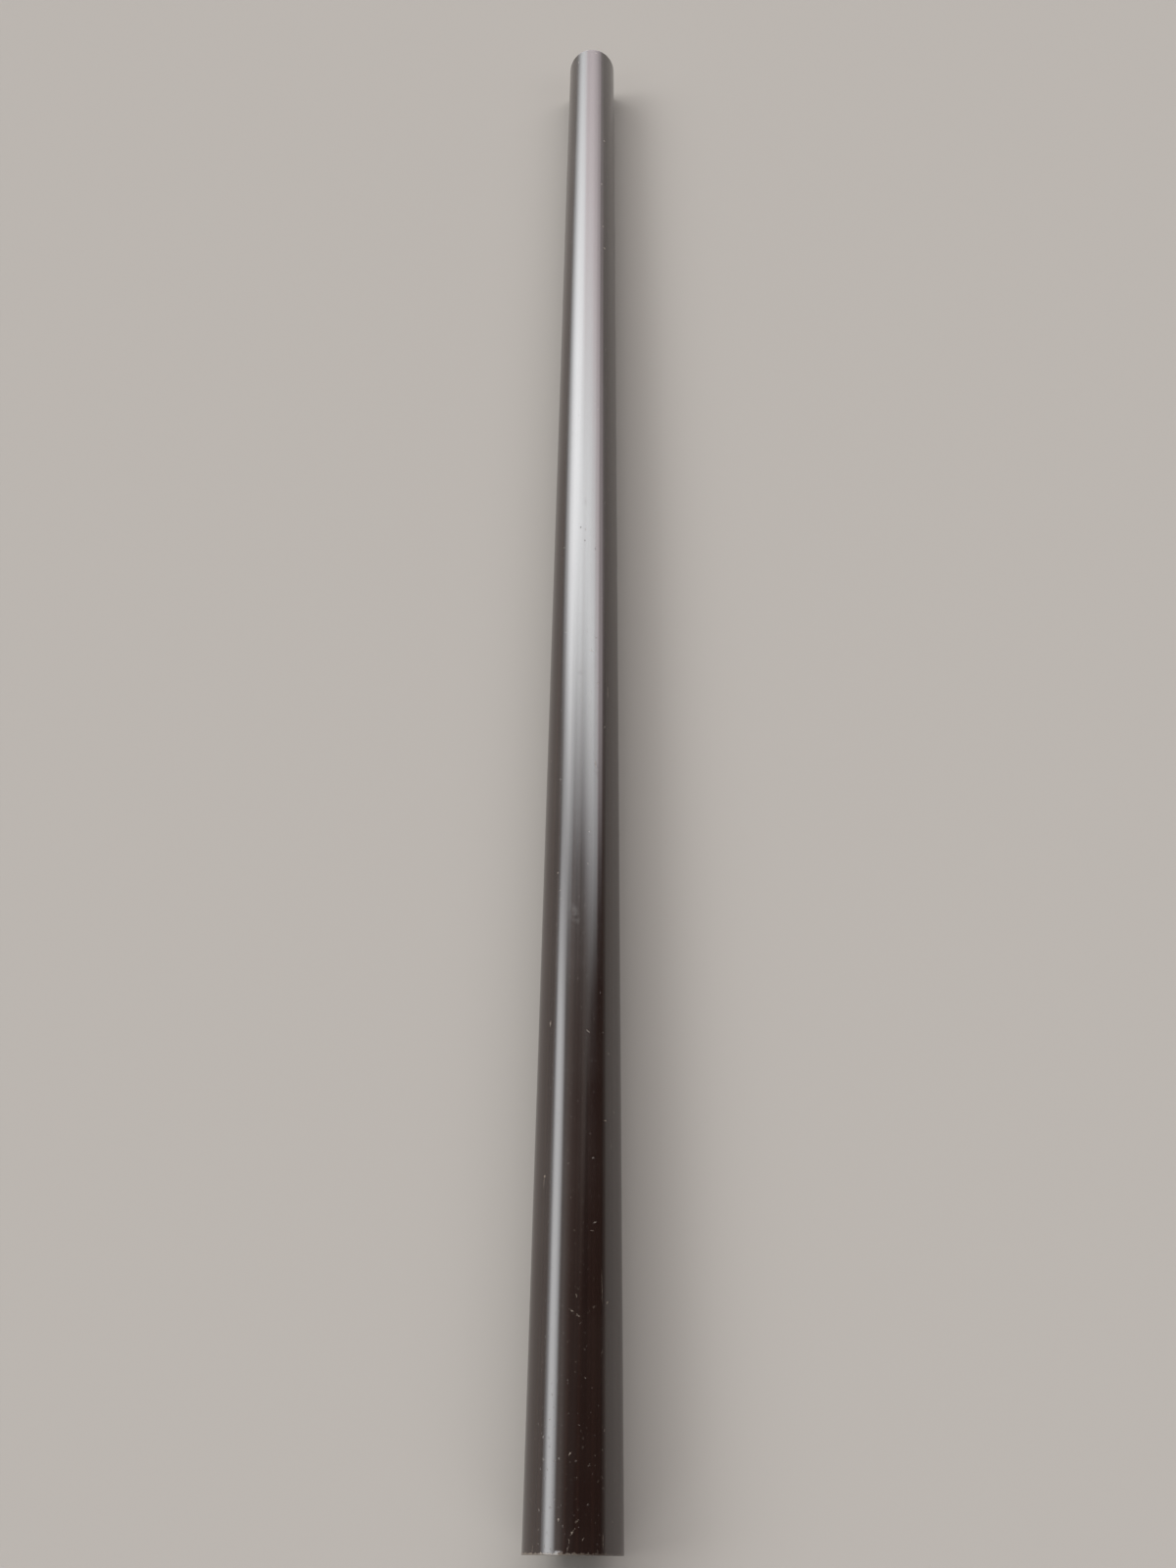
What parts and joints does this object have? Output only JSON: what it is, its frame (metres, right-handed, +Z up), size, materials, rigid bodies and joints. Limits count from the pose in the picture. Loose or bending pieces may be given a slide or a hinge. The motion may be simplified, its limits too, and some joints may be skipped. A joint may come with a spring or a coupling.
{
  "type": "pvc pipe",
  "caption": "Straight thin-walled PVC rainwater pipe in glossy dark brown, plain at both ends and cut square, 70 mm across and 2 m long.",
  "frame": {"origin": "on the floor under the middle of the pipe, which lies level", "axes": "+Y along the pipe, away from the end that is nearest in the picture; +Z up; +X to the right of someone looking along +Y"},
  "size_m": [0.07, 2, 0.0698],
  "materials": {
    "brown_pvc": "gloss"
  },
  "bodies": {
    "root": {"pipe": "brown_pvc"}
  },
  "joints": []
}
